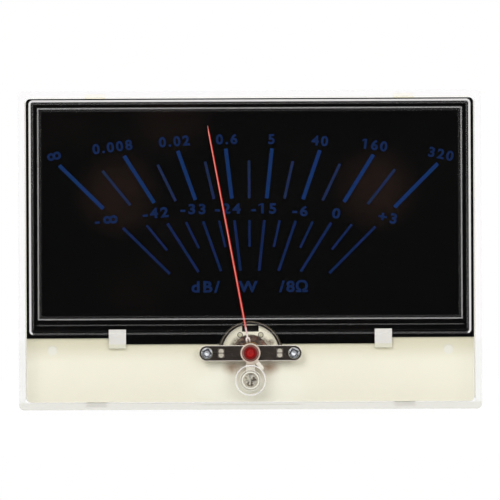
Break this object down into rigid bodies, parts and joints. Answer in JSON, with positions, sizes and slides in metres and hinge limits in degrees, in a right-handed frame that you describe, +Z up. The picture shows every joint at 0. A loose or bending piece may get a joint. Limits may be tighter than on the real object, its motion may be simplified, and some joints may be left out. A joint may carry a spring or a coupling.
{
  "type": "analog VU meter",
  "caption": "Panel meter with a moving-coil needle over a dark two-row dial, a raised clear window, a zero adjuster and pins at the back.",
  "frame": {"origin": "centre of the base, on the surface that the cover's lower wall stands on, midway between the window's front and the tips of the signal pins", "axes": "+X to the right and +Z up as seen from the front, the window looks along -Y"},
  "size_m": [0.134, 0.0328, 0.0923],
  "materials": {
    "clear_plastic": "clear moulded styrene, polished",
    "cream_plastic": "cream moulded ABS, fine grain",
    "dial_black": "smooth black sheet",
    "blue_print": "translucent dark blue print",
    "white_plastic": "white moulded clip",
    "opal_plastic": "opal diffusing sheet",
    "dark_steel": "dark nickel plate, glossy",
    "bright_steel": "bright zinc plate",
    "red_paint": "red lacquer",
    "ruby": "polished synthetic ruby",
    "natural_plastic": "natural cream moulding",
    "soft_iron": "nickel-plated soft iron, turned",
    "magnet": "sintered magnet",
    "brass": "plain brass",
    "tin": "tinned",
    "aluminium": "plain aluminium",
    "copper_winding": "enamelled copper winding",
    "bronze_strip": "phosphor bronze strip",
    "needle_red": "red-orange lacquer",
    "board": "white solder mask",
    "lamp_lens": "clear lamp body",
    "resistor_black": "black glaze"
  },
  "bodies": {
    "root": {"front_cover": "clear_plastic", "rear_case": "cream_plastic", "front_panel": "cream_plastic", "dial_plate": "dial_black", "scale_print": "blue_print", "dial_clips": "white_plastic", "light_diffuser": "opal_plastic", "bridge": "dark_steel", "bridge_screws": "bright_steel", "front_bearing_screw": "red_paint", "front_jewel": "ruby", "yoke_cup": "soft_iron", "movement_frame": "natural_plastic", "frame_rivets": "brass", "stop_pins": "brass", "core_magnet": "magnet", "rear_bearing_screw": "brass", "rear_jewel": "ruby", "rear_lock_nut": "brass", "rear_spring_anchor": "brass", "signal_terminals": "brass", "lamp_board": "board", "lamps": "lamp_lens", "lamp_resistors": "resistor_black", "lamp_terminals": "tin", "lamp_board_screws": "bright_steel"},
    "adjuster": {"zero_adjuster": "clear_plastic"},
    "lever": {"zero_lever": "bright_steel"},
    "moving_coil": {"coil_former": "aluminium", "coil_winding": "copper_winding", "front_staff": "bright_steel", "rear_staff": "bright_steel", "front_hairspring": "bronze_strip", "rear_hairspring": "bronze_strip", "pointer_holder": "aluminium", "pointer": "needle_red", "balance_cross": "aluminium", "balance_weights": "brass"}
  },
  "joints": [
    {"name": "zero_adjuster_turn", "type": "hinge", "parent": "root", "child": "adjuster", "pos_m": [0, -0.01354, 0.00842], "axis": [0, 1, 0], "range_deg": [-30, 30]},
    {"name": "zero_lever_turn", "type": "hinge", "parent": "root", "child": "lever", "pos_m": [0, -0.01144, 0.01626], "axis": [0, 1, 0], "range_deg": [-3.4, 3.4]},
    {"name": "pointer_swing", "type": "hinge", "parent": "lever", "child": "moving_coil", "pos_m": [0, -0.00944, 0.01626], "axis": [0, 1, 0], "range_deg": [-36, 57], "stiffness_Nm_per_rad": 0.00002, "deforming": ["front_hairspring", "rear_hairspring"]}
  ],
  "couplings": [
    {"joint": "zero_lever_turn", "follows": "zero_adjuster_turn", "ratio": 0.11312}
  ]
}
